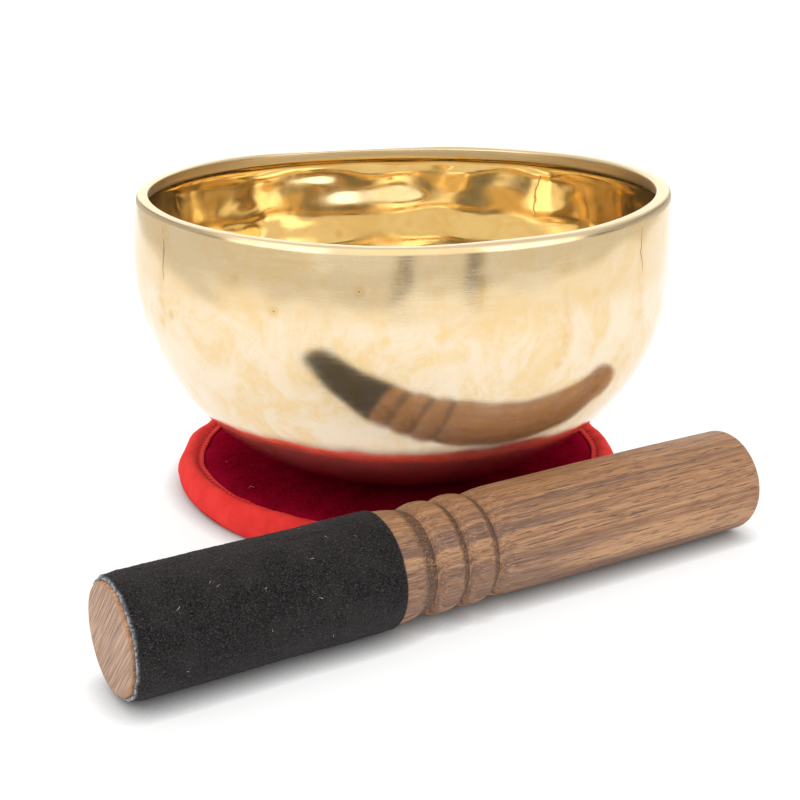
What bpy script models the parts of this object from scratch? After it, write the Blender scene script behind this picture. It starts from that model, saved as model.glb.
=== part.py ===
"""A singing bowl set: a hand-hammered brass bowl standing on a round bound mat, with its mallet beside it.

The mat is four layers of cloth and padding held by two threads of lockstitch, and the mallet is one turned
piece of wood with a suede sleeve. The origin is on the table, under the middle of the bowl. The bowl lifts
straight up off the mat, and the mallet lifts up and away from the bowl.
"""

import math

import bpy

MM = 0.001
GAP = 0.3 * MM  # left between pieces that touch

# Mat: a velvet face, a padding and a backing, bound with a folded cotton tape
MAT_CENTRE = (-2.5 * MM, 9.0 * MM)
MAT_RADIUS = 75.6 * MM
CLOTH_THICKNESS = 0.5 * MM
VELVET_THICKNESS = 0.8 * MM
PADDING_THICKNESS = 7.3 * MM
FLAT_RADIUS = 63.0 * MM  # outside this the backing rises to pass between the binding's two sides
BINDING_WIDTH = 7.4 * MM
BINDING_SHOULDER = 4.0 * MM  # rounding of the bound edge, above and below
BINDING_HEEL = 2.5 * MM
STITCH_INSET = 1.6 * MM  # from the binding's inner edge to the stitch line
THREAD_RADIUS = 0.2 * MM
THREAD_POINTS = 72
MAT_STEPS = 60

# Bowl: a quarter ellipse from the flat base to the belly, drawn in a little to a thickened lip
BASE_RADIUS = 10.0 * MM
BELLY_RADIUS = 86.3 * MM
BELLY_HEIGHT = 70.7 * MM
RIM_RADIUS = 85.0 * MM
RIM_HEIGHT = 93.7 * MM
WALL_THICKNESS = 2.3 * MM
LIP_THICKNESS = 3.9 * MM
LIP_DEPTH = 8.0 * MM
LIP_ROUNDING = 1.3 * MM
BOWL_STEPS = 72

# Mallet: lengths are measured along its axis from the sleeved end
MALLET_END = (-73.8 * MM, -144.9 * MM)  # centre of the sleeved end, seen from above
MALLET_HEADING = math.radians(31.6)  # from +X towards +Y
MALLET_LENGTH = 208.0 * MM
CORE_RADIUS = 15.0 * MM
COLLAR_RADIUS = 15.9 * MM
GROOVE_RADIUS = 14.5 * MM
GROOVES_AT = (88.6 * MM, 99.1 * MM, 109.2 * MM)
HANDLE_RADIUS = 16.0 * MM
HANDLE_END_RADIUS = 15.7 * MM
HANDLE_ROUNDING = 3.0 * MM
SLEEVE_START = 0.9 * MM
SLEEVE_END = 77.7 * MM
SLEEVE_THICKNESS = 1.3 * MM
EDGE_CHAMFER = 0.4 * MM
MALLET_STEPS = 36

VELVET_EDGE = MAT_RADIUS - BINDING_SHOULDER  # where each layer ends inside the binding
PADDING_EDGE = MAT_RADIUS - CLOTH_THICKNESS - GAP - 0.1 * MM
BACKING_EDGE = PADDING_EDGE - 0.6 * MM
BINDING_INNER = MAT_RADIUS - BINDING_WIDTH
SLEEVE_RADIUS = CORE_RADIUS + GAP + SLEEVE_THICKNESS
HANDLE_FOOT = MALLET_LENGTH - HANDLE_ROUNDING  # where the handle's far end touches the table
MALLET_PITCH = math.atan2(SLEEVE_RADIUS - HANDLE_END_RADIUS, HANDLE_FOOT - SLEEVE_END)

# Heights of the mat's layers, from the table up
FLANGE_BOTTOM = 2 * THREAD_RADIUS + GAP
BACKING_RAISED = FLANGE_BOTTOM + CLOTH_THICKNESS + GAP
PADDING_BOTTOM = CLOTH_THICKNESS + GAP
VELVET_BOTTOM = PADDING_BOTTOM + PADDING_THICKNESS + GAP
VELVET_TOP = VELVET_BOTTOM + VELVET_THICKNESS
BINDING_TOP = VELVET_TOP + GAP + CLOTH_THICKNESS
BOWL_BOTTOM = VELVET_TOP + GAP


def clear_scene():
    for old in list(bpy.data.objects):
        bpy.data.objects.remove(old, do_unlink=True)


def make_collection(name):
    collection = bpy.data.collections.new(name)
    bpy.context.scene.collection.children.link(collection)
    return collection


def make_material(name, color, roughness, metallic=0.0):
    material = bpy.data.materials.new(name)
    material.use_nodes = True
    shader = material.node_tree.nodes["Principled BSDF"]
    shader.inputs["Base Color"].default_value = (*color, 1.0)
    shader.inputs["Roughness"].default_value = roughness
    shader.inputs["Metallic"].default_value = metallic
    return material


def smoothstep(share):
    share = min(max(share, 0.0), 1.0)
    return share * share * (3.0 - 2.0 * share)


def turn(name, profile, steps, material, collection, closed=False):
    """A turned piece: (radius, height) points that run down its outer side, swept once round local Z."""
    count = len(profile)
    edges = [(i, i + 1) for i in range(count - 1)]
    if closed:
        edges.append((count - 1, 0))
    mesh = bpy.data.meshes.new(name)
    mesh.from_pydata([(radius, 0.0, height) for radius, height in profile], edges, [])
    mesh.materials.append(material)
    piece = bpy.data.objects.new(name, mesh)
    collection.objects.link(piece)
    screw = piece.modifiers.new("Turn", "SCREW")
    screw.axis = "Z"
    screw.angle = math.tau
    screw.steps = steps
    screw.render_steps = steps
    screw.use_merge_vertices = True
    screw.merge_threshold = 0.02 * MM
    screw.use_smooth_shade = True
    return piece


def make_empty(name, location, collection, rotation=(0.0, 0.0, 0.0)):
    empty = bpy.data.objects.new(name, None)
    empty.empty_display_size = 20 * MM
    empty.location = location
    empty.rotation_euler = rotation
    collection.objects.link(empty)
    return empty


def bowl_outside(steps_below=12, steps_above=2):
    """Points and inward normals of the bowl's outside, from the edge of its base up to the rim."""
    stations = []
    width = BELLY_RADIUS - BASE_RADIUS
    for i in range(steps_below + 1):
        angle = math.pi / 2 * i / steps_below
        radius = BASE_RADIUS + width * math.sin(angle)
        height = BELLY_HEIGHT * (1.0 - math.cos(angle))
        normal = (-BELLY_HEIGHT * math.sin(angle), width * math.cos(angle))
        stations.append((radius, height, normal))
    drawn_in = BELLY_RADIUS - RIM_RADIUS
    rise = RIM_HEIGHT - BELLY_HEIGHT
    for i in range(1, steps_above + 1):
        share = i / steps_above
        radius = BELLY_RADIUS - drawn_in * share**2
        normal = (-rise, -2.0 * drawn_in * share)
        stations.append((radius, BELLY_HEIGHT + rise * share, normal))
    return stations


def wall_at(height):
    lip_share = smoothstep((height - RIM_HEIGHT + LIP_DEPTH) / LIP_DEPTH)
    return WALL_THICKNESS + (LIP_THICKNESS - WALL_THICKNESS) * lip_share


def corner(centre, radius, start, end, steps=3):
    """A rounded corner, as (radius, height) points about its centre."""
    sweep = [start + (end - start) * i / steps for i in range(steps + 1)]
    return [(centre[0] + radius * math.cos(a), centre[1] + radius * math.sin(a)) for a in sweep]


def make_bowl(collection, lift):
    outside = bowl_outside()
    inside = []
    for radius, height, (across, up) in outside:
        wall = wall_at(height) / math.hypot(across, up)
        inside.append((radius + across * wall, height + up * wall))
    below_lip = RIM_HEIGHT - LIP_ROUNDING
    inside = [point for point in inside if point[1] < below_lip - LIP_ROUNDING]
    inner_centre = (RIM_RADIUS - LIP_THICKNESS + LIP_ROUNDING, below_lip)
    outer_centre = (RIM_RADIUS - LIP_ROUNDING, below_lip)
    inner_corner = corner(inner_centre, LIP_ROUNDING, math.pi, math.pi / 2, steps=2)
    outer_corner = corner(outer_centre, LIP_ROUNDING, math.pi / 2, 0.0, steps=2)
    down_outside = [(radius, height) for radius, height, _ in reversed(outside[:-1])]
    profile = [(0.0, WALL_THICKNESS), *inside, *inner_corner, *outer_corner, *down_outside, (0.0, 0.0)]
    brass = make_material("brass", (0.80, 0.66, 0.38), 0.22, metallic=1.0)
    bowl = turn("bowl", profile, BOWL_STEPS, brass, collection)
    bowl.parent = lift
    return bowl


def make_velvet(collection, mat):
    top, bottom = VELVET_TOP, VELVET_BOTTOM
    profile = [(0.0, top), (VELVET_EDGE, top), (VELVET_EDGE, bottom), (0.0, bottom)]
    velvet = make_material("velvet", (0.20, 0.0, 0.03), 0.9)
    turn("mat_velvet", profile, MAT_STEPS, velvet, collection).parent = mat


def make_padding(collection, mat):
    """Fills the mat from edge to edge, with a rounded upper corner inside the binding."""
    top = PADDING_BOTTOM + PADDING_THICKNESS
    raised = BACKING_RAISED + CLOTH_THICKNESS + GAP
    shoulder = BINDING_SHOULDER / 2
    profile = [(0.0, top), (PADDING_EDGE - shoulder, top), (PADDING_EDGE, top - shoulder)]
    profile += [(PADDING_EDGE, raised), (BINDING_INNER, raised)]
    profile += [(FLAT_RADIUS, PADDING_BOTTOM), (0.0, PADDING_BOTTOM)]
    wadding = make_material("wadding", (0.85, 0.84, 0.80), 1.0)
    turn("mat_padding", profile, MAT_STEPS, wadding, collection).parent = mat


def make_backing(collection, mat):
    """Flat on the table in the middle, and raised at its edge to lie between the binding's two sides."""
    slope_start = FLAT_RADIUS
    slope_end = BINDING_INNER - 2 * GAP
    top = BACKING_RAISED + CLOTH_THICKNESS
    profile = [(0.0, CLOTH_THICKNESS), (slope_start, CLOTH_THICKNESS), (slope_end, top), (BACKING_EDGE, top)]
    profile += [(BACKING_EDGE, BACKING_RAISED), (slope_end + CLOTH_THICKNESS, BACKING_RAISED)]
    profile += [(slope_start + CLOTH_THICKNESS, 0.0), (0.0, 0.0)]
    cotton = make_material("backing_cotton", (0.45, 0.02, 0.03), 0.95)
    turn("mat_backing", profile, MAT_STEPS, cotton, collection).parent = mat


def make_binding(collection, mat):
    """A cotton tape folded over the mat's rounded edge, pinched in under its stitch line."""
    inner = BINDING_INNER
    pinch = inner + STITCH_INSET + 1.2 * MM
    slope = pinch + 1.0 * MM
    upper = BINDING_TOP - CLOTH_THICKNESS
    lower = FLANGE_BOTTOM + CLOTH_THICKNESS
    shoulder = (MAT_RADIUS - BINDING_SHOULDER, BINDING_TOP - BINDING_SHOULDER)
    heel = (MAT_RADIUS - BINDING_HEEL, BINDING_HEEL)
    quarter = math.pi / 2
    profile = [(inner, BINDING_TOP), *corner(shoulder, BINDING_SHOULDER, quarter, 0.0)]
    profile += [*corner(heel, BINDING_HEEL, 0.0, -quarter), (slope, 0.0)]
    profile += [(pinch, FLANGE_BOTTOM), (inner, FLANGE_BOTTOM), (inner, lower), (pinch, lower)]
    profile += [(slope, CLOTH_THICKNESS), *corner(heel, BINDING_HEEL - CLOTH_THICKNESS, -quarter, 0.0)]
    profile += [*corner(shoulder, BINDING_SHOULDER - CLOTH_THICKNESS, 0.0, quarter), (inner, upper)]
    cotton = make_material("binding_cotton", (0.83, 0.05, 0.03), 0.85)
    turn("mat_binding", profile, MAT_STEPS, cotton, collection, closed=True).parent = mat


def make_thread(name, height, material, collection, mat):
    """One thread of the lockstitch, as a plain closed ring along the stitch line."""
    radius = BINDING_INNER + STITCH_INSET
    curve = bpy.data.curves.new(name, "CURVE")
    curve.dimensions = "3D"
    curve.bevel_depth = THREAD_RADIUS
    curve.bevel_resolution = 0
    curve.materials.append(material)
    spline = curve.splines.new("POLY")
    spline.points.add(THREAD_POINTS - 1)
    spline.use_cyclic_u = True
    for i, point in enumerate(spline.points):
        angle = math.tau * i / THREAD_POINTS
        point.co = (radius * math.cos(angle), radius * math.sin(angle), height, 1.0)
    thread = bpy.data.objects.new(name, curve)
    collection.objects.link(thread)
    thread.parent = mat


def make_mat(collection):
    mat = make_empty("mat", (*MAT_CENTRE, 0.0), collection)
    make_velvet(collection, mat)
    make_padding(collection, mat)
    make_backing(collection, mat)
    make_binding(collection, mat)
    cotton = make_material("thread_cotton", (0.70, 0.04, 0.03), 0.8)
    make_thread("mat_thread_top", BINDING_TOP + GAP + THREAD_RADIUS, cotton, collection, mat)
    make_thread("mat_thread_bobbin", THREAD_RADIUS, cotton, collection, mat)


def beads():
    """The collar and the two rings between the grooves, as (radius, length) points."""
    points = [(CORE_RADIUS, SLEEVE_END + GAP), (COLLAR_RADIUS, SLEEVE_END + GAP)]
    start = SLEEVE_END + GAP
    for number, groove in enumerate(GROOVES_AT):
        width = groove - start
        crown = COLLAR_RADIUS - GROOVE_RADIUS
        shares = (0.5, 0.78, 0.93) if number == 0 else (0.07, 0.22, 0.5, 0.78, 0.93)
        for share in shares:
            rise = math.sqrt(math.sin(math.pi * share))
            points.append((GROOVE_RADIUS + crown * rise, start + width * share))
        points.append((GROOVE_RADIUS, groove))
        start = groove
    return points


def handle():
    """The handle, from its shoulder to its rounded far end, as (radius, length) points."""
    shoulder = GROOVES_AT[-1]
    foot = HANDLE_FOOT
    points = []
    for share in (0.012, 0.04, 0.1, 0.25, 0.5, 0.75, 1.0):
        shoulder_round = math.sqrt(1.0 - (1.0 - min(share / 0.1, 1.0)) ** 2)
        swell = HANDLE_RADIUS - (HANDLE_RADIUS - HANDLE_END_RADIUS) * (2.0 * share - 1.0) ** 2
        radius = GROOVE_RADIUS + (swell - GROOVE_RADIUS) * shoulder_round
        points.append((radius, shoulder + (foot - shoulder) * share))
    for i in range(1, 4):
        angle = math.pi / 2 * i / 3
        inset = HANDLE_ROUNDING * (1.0 - math.cos(angle))
        points.append((HANDLE_END_RADIUS - inset, foot + HANDLE_ROUNDING * math.sin(angle)))
    return points


def make_stick(collection, lift):
    start = [(0.0, 0.0), (CORE_RADIUS - EDGE_CHAMFER, 0.0), (CORE_RADIUS, EDGE_CHAMFER)]
    profile = [*start, *beads(), *handle(), (0.0, MALLET_LENGTH)]
    wood = make_material("wood", (0.33, 0.20, 0.12), 0.5)
    turn("mallet_stick", list(reversed(profile)), MALLET_STEPS, wood, collection).parent = lift


def make_sleeve(collection, lift):
    inner = CORE_RADIUS + GAP
    edge = EDGE_CHAMFER
    profile = [(SLEEVE_RADIUS - edge, SLEEVE_END), (SLEEVE_RADIUS, SLEEVE_END - edge)]
    profile += [(SLEEVE_RADIUS, SLEEVE_START + edge), (SLEEVE_RADIUS - edge, SLEEVE_START)]
    profile += [(inner, SLEEVE_START), (inner, SLEEVE_END)]
    suede = make_material("suede", (0.025, 0.022, 0.022), 1.0)
    turn("mallet_suede", profile, MALLET_STEPS, suede, collection, closed=True).parent = lift


def make_mallet(collection):
    """The mallet lies on its sleeve's edge and its handle's end, so its axis dips a little to the handle."""
    axis_height = SLEEVE_RADIUS / math.cos(MALLET_PITCH) + SLEEVE_END * math.sin(MALLET_PITCH)
    rotation = (0.0, math.pi / 2 + MALLET_PITCH, MALLET_HEADING)
    lift = make_empty("mallet_lift", (*MALLET_END, axis_height), collection, rotation)
    make_stick(collection, lift)
    make_sleeve(collection, lift)


def main():
    clear_scene()
    collection = make_collection("singing_bowl_set")
    make_mat(collection)
    bowl_lift = make_empty("bowl_lift", (0.0, 0.0, BOWL_BOTTOM), collection)
    make_bowl(collection, bowl_lift)
    make_mallet(collection)


main()
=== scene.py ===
"""Looks of the singing bowl set: a hammered bowl on a bound velvet mat, with its suede-sleeved mallet."""

import math

import bpy
import numpy as np
from mathutils import Matrix, Vector


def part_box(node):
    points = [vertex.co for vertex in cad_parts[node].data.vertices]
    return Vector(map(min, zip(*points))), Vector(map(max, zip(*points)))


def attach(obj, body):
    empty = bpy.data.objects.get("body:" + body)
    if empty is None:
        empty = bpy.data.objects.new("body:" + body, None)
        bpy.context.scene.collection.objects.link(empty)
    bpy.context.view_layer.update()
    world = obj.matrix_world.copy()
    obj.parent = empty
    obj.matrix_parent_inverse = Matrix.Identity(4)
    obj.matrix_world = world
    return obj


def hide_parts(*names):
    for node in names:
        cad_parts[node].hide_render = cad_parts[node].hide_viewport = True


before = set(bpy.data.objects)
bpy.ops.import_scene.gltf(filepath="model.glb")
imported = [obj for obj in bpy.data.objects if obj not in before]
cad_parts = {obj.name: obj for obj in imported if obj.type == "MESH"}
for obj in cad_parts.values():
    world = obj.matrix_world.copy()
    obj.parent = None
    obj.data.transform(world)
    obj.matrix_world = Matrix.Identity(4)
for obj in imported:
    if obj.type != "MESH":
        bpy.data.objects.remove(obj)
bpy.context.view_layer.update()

MM = 0.001

# The bowl, as in the CAD: a quarter ellipse up to the belly, drawn in to a thickened lip
BASE_RADIUS = 10.0 * MM
BELLY_HEIGHT = 70.7 * MM
RIM_RADIUS = 85.0 * MM
WALL_THICKNESS = 2.3 * MM
LIP_THICKNESS = 3.9 * MM
LIP_ROUNDING = 1.0 * MM

# The mat
MAT_CENTRE = Vector((-2.5 * MM, 9.0 * MM, 0.0))
BINDING_WIDTH = 7.4 * MM
STITCH_INSET = 1.6 * MM
STITCH_PITCH = 2.6 * MM
CLOTH = 0.5 * MM

# The mallet, measured along its axis from the sleeved end
MALLET_END = Vector((-73.8 * MM, -144.9 * MM, 0.0))
MALLET_HEADING = math.radians(31.6)
MALLET_LENGTH = 208.0 * MM
CORE_RADIUS = 15.0 * MM
COLLAR_RADIUS = 15.9 * MM
GROOVE_RADIUS = 14.2 * MM
GROOVES_AT = (88.6 * MM, 99.1 * MM, 109.2 * MM)
HANDLE_RADIUS = 16.0 * MM
HANDLE_END_RADIUS = 15.7 * MM
HANDLE_ROUNDING = 3.0 * MM
SLEEVE_START = 0.9 * MM
SLEEVE_END = 77.7 * MM
SLEEVE_RADIUS = 16.6 * MM
SLEEVE_INNER = 15.15 * MM


# ---------------------------------------------------------------- mesh helpers

def add_object(name, data):
    made = bpy.data.objects.new(name, data)
    bpy.context.scene.collection.objects.link(made)
    return made


def make_mesh(name, points, quads, triangles=(), smooth=True):
    """A mesh from arrays of points, quads and triangles."""
    mesh = bpy.data.meshes.new(name)
    quads = np.asarray(quads, np.int32).reshape(-1, 4)
    triangles = np.asarray(triangles, np.int32).reshape(-1, 3)
    loops = np.concatenate([quads.ravel(), triangles.ravel()])
    sizes = np.concatenate([np.full(len(quads), 4), np.full(len(triangles), 3)]).astype(np.int32)
    starts = np.concatenate([[0], np.cumsum(sizes)[:-1]]).astype(np.int32)
    mesh.vertices.add(len(points))
    mesh.vertices.foreach_set("co", np.asarray(points, np.float32).ravel())
    mesh.loops.add(len(loops))
    mesh.loops.foreach_set("vertex_index", loops)
    mesh.polygons.add(len(sizes))
    mesh.polygons.foreach_set("loop_start", starts)
    mesh.polygons.foreach_set("use_smooth", np.full(len(sizes), smooth))
    mesh.update()
    mesh.validate()
    return mesh


def wrap_grid(rings, around, close_rings=False):
    """Quads between the rings of a grid of rings x around points, facing up if the rings run outwards."""
    ring = np.arange(rings if close_rings else rings - 1)
    step = np.arange(around)
    a, b = np.meshgrid(ring, step, indexing="ij")
    nxt, side = (a + 1) % rings, (b + 1) % around
    quads = np.stack([a * around + b, a * around + side, nxt * around + side, nxt * around + b], -1)
    return quads.reshape(-1, 4)


def fan(pole, first, around, flip):
    """Triangles from one pole point to a ring that starts at index first."""
    step = np.arange(around)
    here, there = first + step, first + (step + 1) % around
    corners = (there, here) if flip else (here, there)
    return np.stack([np.full(around, pole), *corners], -1)


def capped_shell(name, points, poles, around, inside_first=False):
    """A mesh of rings of points, closed by a pole at its first ring and one at its last."""
    count = len(points)
    caps = [fan(count, 0, around, not inside_first), fan(count + 1, count - around, around, inside_first)]
    quads = wrap_grid(count // around, around)
    return make_mesh(name, np.concatenate([points, poles]), quads, np.concatenate(caps))


def set_attribute(mesh, name, values):
    attribute = mesh.attributes.new(name, "FLOAT", "POINT")
    attribute.data.foreach_set("value", np.asarray(values, np.float32).ravel())


def ripple(points, wavelength, seed, count=26):
    """A smooth random field of about unit height whose bumps are a given wavelength apart."""
    rng = np.random.default_rng(seed)
    direction = rng.normal(size=(count, 3))
    direction /= np.linalg.norm(direction, axis=1, keepdims=True)
    speed = math.tau / wavelength * rng.uniform(0.6, 1.4, count)
    phase = rng.uniform(0, math.tau, count)
    total = np.zeros(len(points))
    for d, k, p in zip(direction, speed, phase):
        total += np.sin(points @ (d * k) + p)
    return total * math.sqrt(2.0 / count)


def smoothstep(low, high, values):
    share = np.clip((values - low) / (high - low), 0.0, 1.0)
    return share * share * (3.0 - 2.0 * share)


def bell(values, centre, width):
    """A bump of height 1 at a centre, falling to about a third one width away."""
    return np.exp(-(((values - centre) / width) ** 2))


def turns(around):
    """Evenly spaced angles once round."""
    return np.arange(around) * math.tau / around


def ring_points(radius, height, around):
    """Rings x around points of a turned profile, and the angles."""
    angle = turns(around)
    x = np.outer(radius, np.cos(angle))
    y = np.outer(radius, np.sin(angle))
    z = np.repeat(np.asarray(height)[:, None], around, axis=1)
    return np.stack([x, y, z], -1), angle


# ---------------------------------------------------------------- shader helpers

class Shader:
    """Short names for building one material's node tree round its Principled BSDF."""

    def __init__(self, name, **constants):
        self.material = bpy.data.materials.new(name)
        self.material.use_nodes = True
        self.tree = self.material.node_tree
        self.principled = self.tree.nodes["Principled BSDF"]
        for key, value in constants.items():
            self.principled.inputs[key.replace("_", " ")].default_value = value

    def feed(self, socket, value):
        if isinstance(value, bpy.types.Node):
            value = next(s for s in value.outputs if s.enabled)
        if isinstance(value, bpy.types.NodeSocket):
            self.tree.links.new(value, socket)
        elif hasattr(value, "__len__") and len(socket.default_value) == 4:
            socket.default_value = (*value[:3], 1.0)
        else:
            socket.default_value = value

    def node(self, kind, *values, **named):
        """A node: lower-case names are settings, capitalised ones are inputs, plain values go in order."""
        made = self.tree.nodes.new("ShaderNode" + kind)
        for key, value in named.items():
            if key[0].islower():
                setattr(made, key, value)
        for key, value in named.items():
            if key[0].isupper():
                self.feed(made.inputs[key.replace("_", " ")], value)
        sockets = [s for s in made.inputs if s.enabled]
        for socket, value in zip(sockets, values):
            if value is not None:
                self.feed(socket, value)
        return made

    def math(self, operation, *values, clamp=False):
        return self.node("Math", *values, operation=operation, use_clamp=clamp)

    def times(self, one, two, clamp=False):
        return self.math("MULTIPLY", one, two, clamp=clamp)

    def plus(self, one, two):
        return self.math("ADD", one, two)

    def minus(self, one, two):
        return self.math("SUBTRACT", one, two)

    def noise(self, vector, scale, detail=3.0, roughness=0.5, distortion=0.0):
        return self.node("TexNoise", Vector=vector, Scale=scale, Detail=detail, Roughness=roughness,
                         Distortion=distortion)

    def span(self, value, low, high, out_low=0.0, out_high=1.0):
        """Maps a value smoothly from low..high to out_low..out_high, clamped."""
        return self.node("MapRange", value, low, high, out_low, out_high, interpolation_type="SMOOTHSTEP")

    def mix(self, share, one, two):
        made = self.node("Mix", data_type="RGBA")
        for socket, value in zip((made.inputs[0], made.inputs[6], made.inputs[7]), (share, one, two)):
            self.feed(socket, value)
        return made.outputs[2]

    def tint(self, colour, share, strength, other):
        """A colour turned towards another one where share is high."""
        return self.mix(self.times(share, strength), colour, other)

    def stretch(self, vector, scale, rotation=(0.0, 0.0, 0.0)):
        return self.node("Mapping", Vector=vector, Scale=scale, Rotation=rotation)

    def attribute(self, name):
        return self.node("Attribute", attribute_name=name).outputs["Fac"]

    def place(self):
        return self.node("TexCoord").outputs["Object"]

    def bump(self, height, distance, strength=1.0, normal=None):
        made = self.node("Bump", Strength=strength, Distance=distance, Height=height)
        if normal is not None:
            self.feed(made.inputs["Normal"], normal)
        return made

    def finish(self, **links):
        for key, value in links.items():
            self.feed(self.principled.inputs[key.replace("_", " ")], value)
        return self.material


# ---------------------------------------------------------------- the bowl

BOWL_LOW, BOWL_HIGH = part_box("bowl")
BOWL_BOTTOM = BOWL_LOW.z
RIM_HEIGHT = BOWL_HIGH.z - BOWL_LOW.z
BELLY_RADIUS = (BOWL_HIGH.x - BOWL_LOW.x) / 2
BOWL_AROUND = 520


def bowl_outside():
    """Radius, height and inward normal along the outside, from the middle of the base up to the rim."""
    flat = np.linspace(0.02, 1.0, 9) * BASE_RADIUS
    stations = [(r, 0.0, 0.0, 1.0) for r in flat]
    width = BELLY_RADIUS - BASE_RADIUS
    for angle in np.linspace(0, math.pi / 2, 52)[1:]:
        radius = BASE_RADIUS + width * math.sin(angle)
        height = BELLY_HEIGHT * (1 - math.cos(angle))
        stations.append((radius, height, -BELLY_HEIGHT * math.sin(angle), width * math.cos(angle)))
    drawn_in, rise = BELLY_RADIUS - RIM_RADIUS, RIM_HEIGHT - BELLY_HEIGHT
    for share in np.linspace(0, 1, 30)[1:]:
        radius = BELLY_RADIUS - drawn_in * share**2
        stations.append((radius, BELLY_HEIGHT + rise * share, -rise, -2 * drawn_in * share))
    stations = np.array(stations)
    stations[:, 2:] /= np.linalg.norm(stations[:, 2:], axis=1, keepdims=True)
    return stations


def lip_corner(centre_radius, start, end, steps=6):
    angle = np.linspace(start, end, steps)
    height = RIM_HEIGHT - LIP_ROUNDING
    return [(centre_radius + LIP_ROUNDING * math.cos(a), height + LIP_ROUNDING * math.sin(a),
             -math.cos(a), -math.sin(a)) for a in angle]


def wall_at(height):
    """The wall's thickness: a thick filed lip, thin right below it, swollen again lower down."""
    below = RIM_HEIGHT - height
    lip = (LIP_THICKNESS - WALL_THICKNESS) * (1 - smoothstep(3.4 * MM, 6.0 * MM, below))
    thin = -0.5 * MM * bell(below, 8.0 * MM, 4.6 * MM)
    swollen = 1.3 * MM * bell(below, 25.5 * MM, 9.0 * MM)
    return WALL_THICKNESS + lip + thin + swollen


def bowl_profile():
    """The closed profile, inside from the middle up, over the lip, and down the outside: rows of radius,
    height and inward normal, and for each row the share of inside."""
    outside = bowl_outside()
    wall = wall_at(outside[:, 1])
    inside = outside.copy()
    inside[:, :2] += outside[:, 2:] * wall[:, None]
    inside[:, 2:] *= -1
    below = RIM_HEIGHT - LIP_ROUNDING
    inside = inside[inside[:, 1] < below - 0.3 * MM]
    outside = outside[outside[:, 1] < below - 0.3 * MM]
    inner = np.array(lip_corner(RIM_RADIUS - LIP_THICKNESS + LIP_ROUNDING, math.pi, math.pi / 2))
    outer = np.array(lip_corner(RIM_RADIUS - LIP_ROUNDING, math.pi / 2, 0.0))
    rows = [inside, inner, outer, outside[::-1]]
    share = np.repeat([1.0, 0.6, 0.0, 0.0], [len(row) for row in rows])
    return np.concatenate(rows), share


def hammer_marks(points, count, size, depth, seed, low, high):
    """The depth of overlapping hammer dents scattered over the inside wall, at each point."""
    rng = np.random.default_rng(seed)
    height = rng.uniform(low, high, count)
    angle = rng.uniform(0, math.tau, count)
    share = np.sqrt(np.clip(1 - (1 - height / BELLY_HEIGHT) ** 2, 0.0, 1.0))
    radius = BASE_RADIUS + (BELLY_RADIUS - BASE_RADIUS) * share - WALL_THICKNESS
    centres = np.stack([radius * np.cos(angle), radius * np.sin(angle), height], -1)
    sizes = size * rng.uniform(0.7, 1.3, count)
    depths = depth * rng.uniform(0.3, 1.0, count)
    total = np.zeros(len(points))
    for centre, reach, deep in zip(centres, sizes, depths):
        near = np.abs(points[:, 2] - centre[2]) < 2 * reach
        distance = np.linalg.norm(points[near] - centre, axis=1)
        total[near] += deep * bell(distance, 0.0, reach)
    return total


def line_mark(theta, height, places, width=0.28 * MM):
    """How near each point lies to a line through places: degrees round the bowl, mm above its base."""
    near = np.full(theta.shape, 1.0)
    for (turn_a, up_a), (turn_b, up_b) in zip(places[:-1], places[1:]):
        a = np.array([math.radians(turn_a) * BELLY_RADIUS, up_a * MM])
        b = np.array([math.radians(turn_b) * BELLY_RADIUS, up_b * MM])
        point = np.stack([theta * BELLY_RADIUS, height], -1)
        share = np.clip(((point - a) @ (b - a)) / ((b - a) @ (b - a)), 0, 1)
        near = np.minimum(near, np.linalg.norm(point - a - share[:, None] * (b - a), axis=1))
    return bell(near, 0.0, width)


def drips(theta, height):
    """Where water has run down the outside and left upright yellow stains."""
    left = line_mark(theta, height, ((215.5, 90.0), (215.0, 80.0), (213.0, 62.0)), 2.2 * MM)
    middle = line_mark(theta, height, ((284.6, 91.0), (284.2, 76.0)), 1.1 * MM)
    right = line_mark(theta, height, ((302.0, 80.0), (303.0, 66.0), (302.0, 60.0)), 1.6 * MM)
    far = line_mark(theta, height, ((324.0, 88.0), (325.0, 74.0), (326.0, 64.0)), 1.8 * MM)
    return 0.9 * left + middle + 0.7 * right + 0.6 * far


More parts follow.
